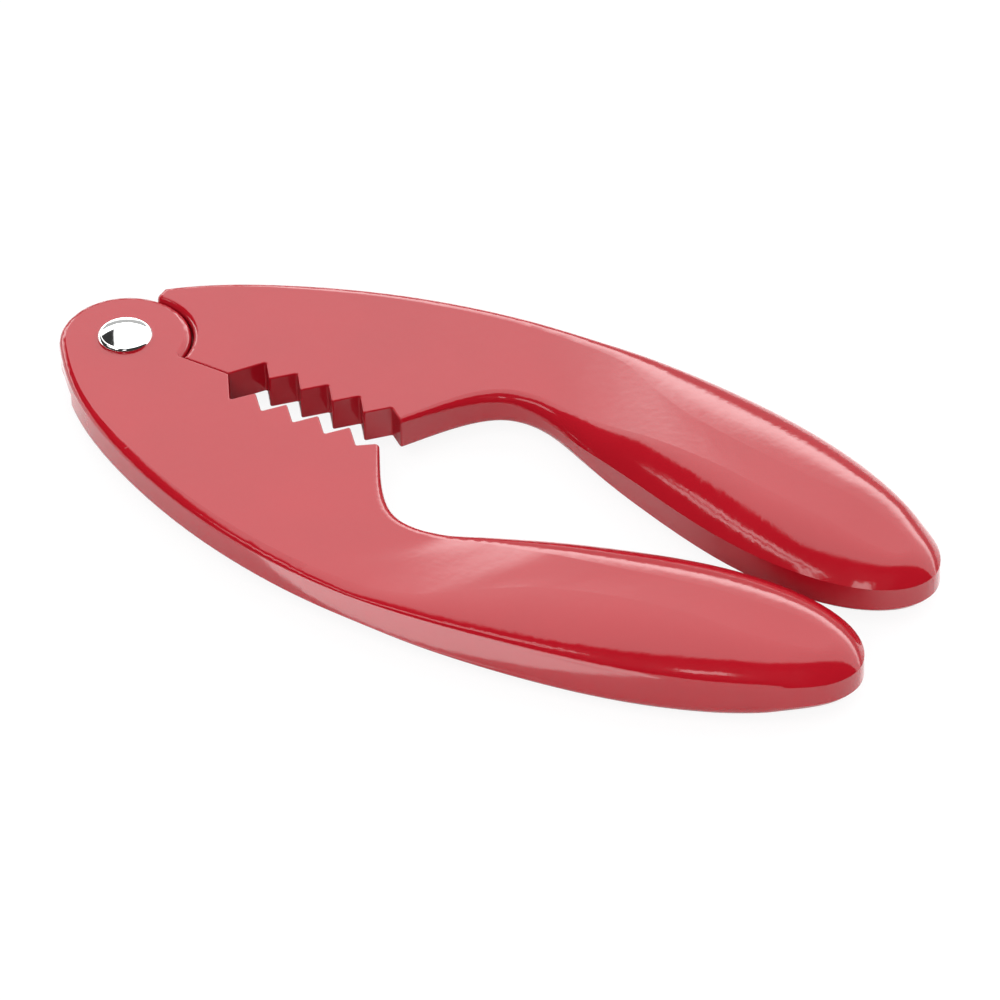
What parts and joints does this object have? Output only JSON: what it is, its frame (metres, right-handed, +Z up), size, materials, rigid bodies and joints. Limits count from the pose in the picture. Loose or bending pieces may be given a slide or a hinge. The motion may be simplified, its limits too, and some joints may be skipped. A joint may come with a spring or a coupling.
{
  "type": "nutcracker",
  "caption": "Lever nutcracker in the form of a lobster claw: toothed jaws, curved rounded handles and a lap hinge on a domed rivet, red gloss coating.",
  "frame": {"origin": "under the middle of the closed tool's box, on the plane of its lowest points", "axes": "+X along the closing line from the pivot to the handle tips, +Y towards the rear lever, +Z up along the hinge axis, out of the rivet's domed head"},
  "size_m": [0.1868, 0.0904, 0.0166],
  "materials": {
    "red_gloss": "gloss coating with slight orange peel",
    "rivet_chrome": "polished"
  },
  "bodies": {
    "front": {"front_lever": "red_gloss", "rivet": "rivet_chrome"},
    "rear": {"rear_lever": "red_gloss"}
  },
  "joints": [
    {"name": "hinge", "type": "hinge", "parent": "front", "child": "rear", "pos_m": [-0.0802, 0, 0.0082], "axis": [0, 0, 1], "range_deg": [0, 135]}
  ]
}
